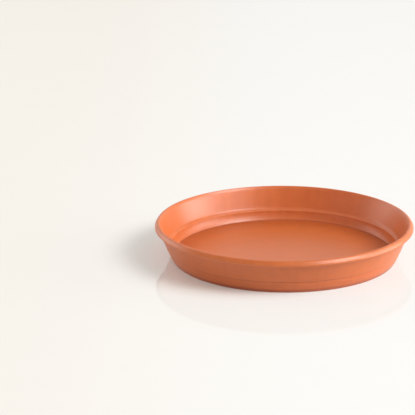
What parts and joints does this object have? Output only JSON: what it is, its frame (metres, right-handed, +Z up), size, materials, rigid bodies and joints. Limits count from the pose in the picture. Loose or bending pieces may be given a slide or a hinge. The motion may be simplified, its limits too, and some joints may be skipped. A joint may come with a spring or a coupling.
{
  "type": "plant saucer",
  "caption": "Round shallow terracotta-coloured plastic saucer with a stepped leaning wall, a turned-over lip and a foot ring, to stand under a plant pot and catch its water.",
  "frame": {"origin": "middle of the plane that the foot ring stands on", "axes": "+Z up along the axis that the saucer is turned about; X and Y are equal, since the saucer is round"},
  "size_m": [0.22, 0.22, 0.031],
  "materials": {
    "terracotta_plastic": "satin moulded polypropylene, coloured through"
  },
  "bodies": {
    "root": {"saucer": "terracotta_plastic"}
  },
  "joints": []
}
